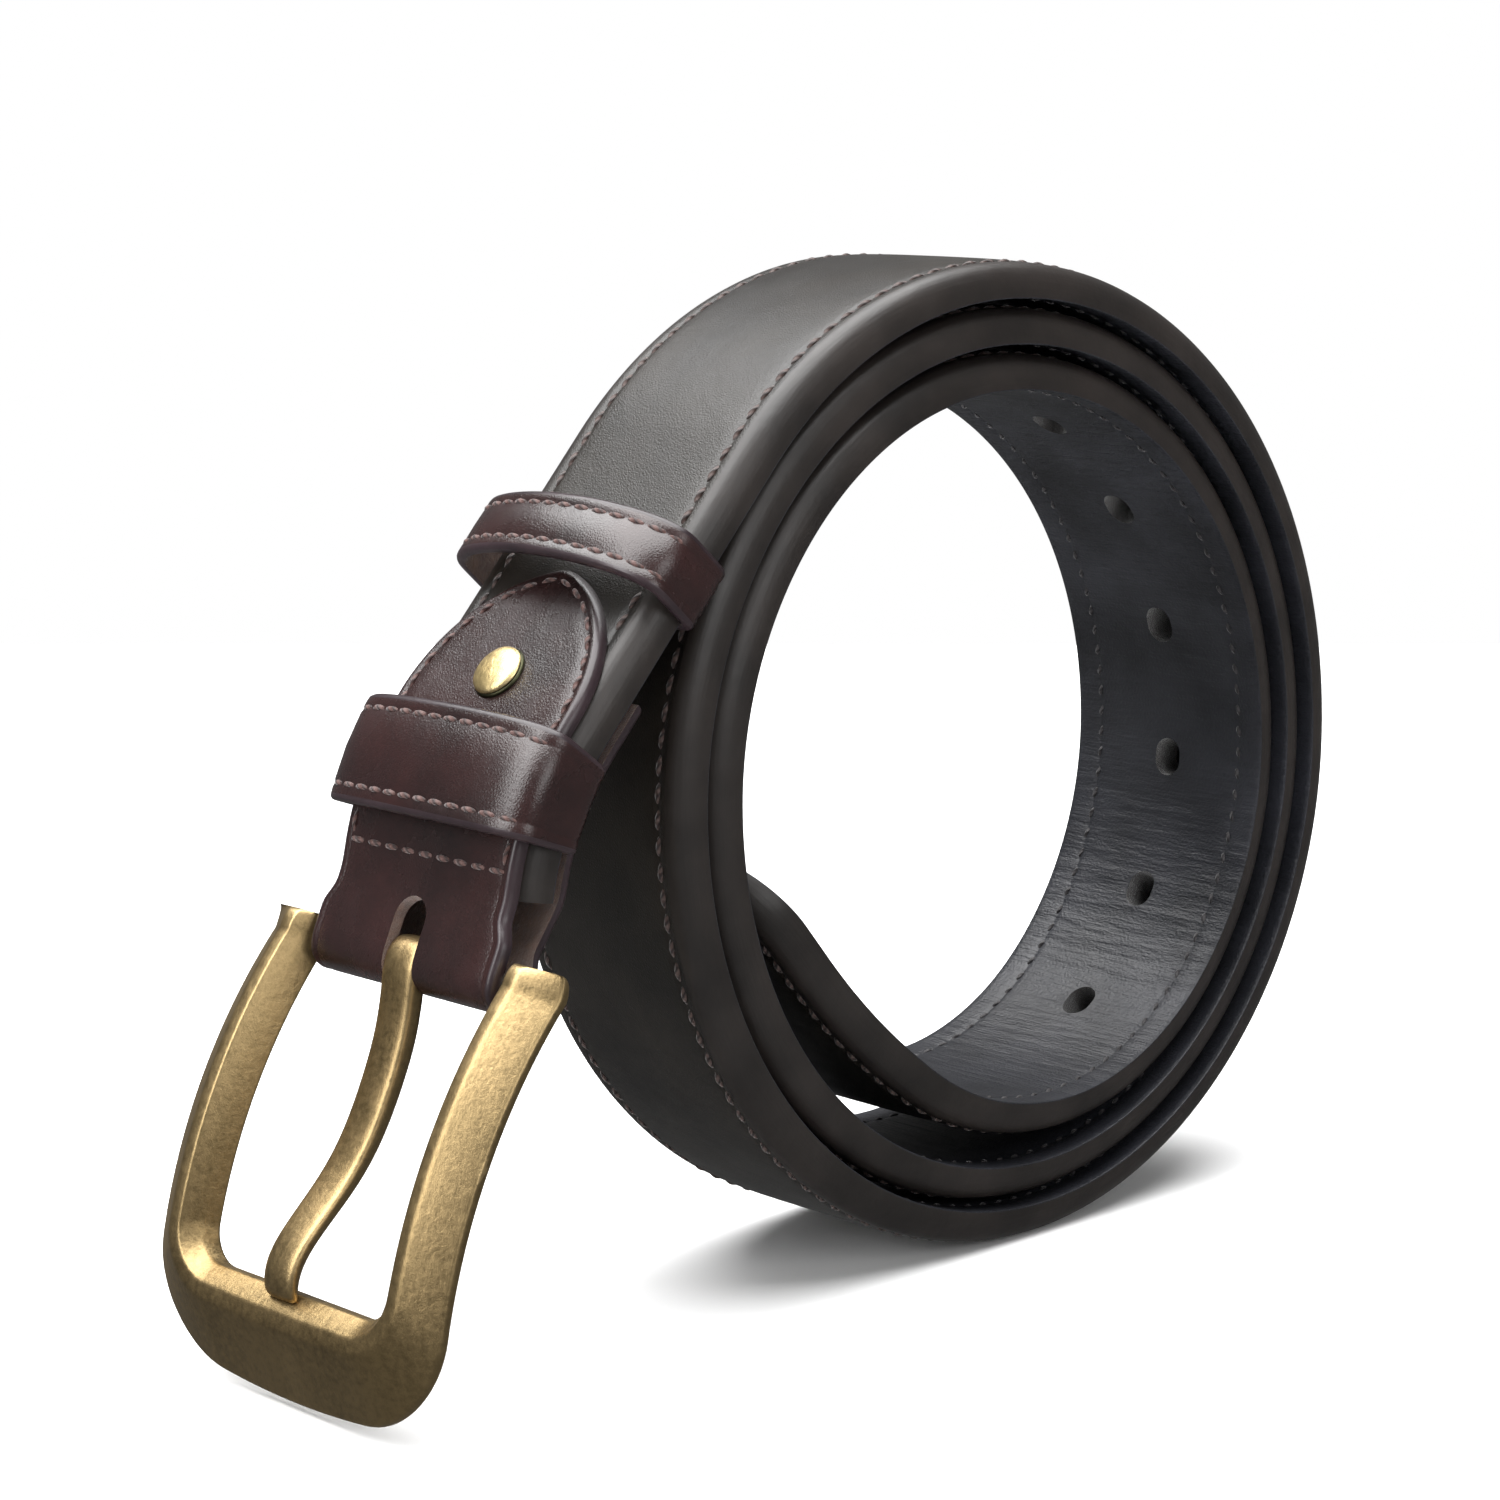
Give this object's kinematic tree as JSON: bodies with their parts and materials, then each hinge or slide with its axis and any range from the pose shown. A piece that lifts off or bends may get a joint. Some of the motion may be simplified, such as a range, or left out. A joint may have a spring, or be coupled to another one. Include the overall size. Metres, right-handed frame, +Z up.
{
  "type": "leather belt",
  "caption": "Rolled leather strap with a pin buckle on a folded tab, a fixed keeper, a sliding keeper, a rivet and oval tongue holes.",
  "frame": {"origin": "middle of the line where the outer turn of the rolled strap meets the surface it stands on", "axes": "+X from the buckle towards the coil, +Y across the width of the strap, +Z up"},
  "size_m": [0.2021, 0.061, 0.1481],
  "materials": {
    "face_leather": "fine grain with a soft sheen, near-black brown, smooth painted bevels",
    "core_board": "bonded leather, its edge painted dark brown-grey",
    "lining_leather": "blue-grey black, cross wrinkles, low sheen",
    "brown_thread": "twisted waxed thread",
    "dark_thread": "twisted waxed thread",
    "burgundy_leather": "glossy burgundy brown, fine grain, painted edges",
    "pink_thread": "pinkish brown twisted thread",
    "steel": "plain bright steel",
    "bright_brass": "satin, lightly worn",
    "dark_collar": "dark, greenish tarnish",
    "antique_brass": "antique satin with dark patina and bright worn edges"
  },
  "bodies": {
    "strap": {"strap_face": "face_leather", "strap_core": "core_board", "strap_lining": "lining_leather", "face_thread": "brown_thread", "lining_thread": "dark_thread", "tab_leather": "burgundy_leather", "tab_edge_thread": "pink_thread", "tab_cross_thread": "pink_thread", "fixed_keeper": "burgundy_leather", "fixed_keeper_upper_thread": "pink_thread", "fixed_keeper_lower_thread": "pink_thread", "fixed_keeper_staple": "steel", "rivet_cap": "bright_brass", "rivet_collar": "dark_collar", "rivet_post": "steel", "rivet_back": "steel"},
    "sliding_keeper": {"sliding_keeper": "burgundy_leather", "sliding_keeper_upper_thread": "pink_thread", "sliding_keeper_lower_thread": "pink_thread", "sliding_keeper_staple": "steel"},
    "buckle": {"buckle_frame": "antique_brass", "buckle_bar": "steel"},
    "prong": {"prong": "antique_brass"}
  },
  "joints": [
    {"name": "keeper_slide", "type": "slide", "parent": "strap", "child": "sliding_keeper", "axis": [0.6691, 0, 0.7431], "range_m": [-0.013, 0.001]},
    {"name": "buckle_hinge", "type": "hinge", "parent": "strap", "child": "buckle", "pos_m": [-0.10626, 0, 0.05676], "axis": [0, 1, 0], "range_deg": [0, 60]},
    {"name": "prong_hinge", "type": "hinge", "parent": "buckle", "child": "prong", "pos_m": [-0.10626, 0, 0.05676], "axis": [0, 1, 0], "range_deg": [0, 75]}
  ]
}
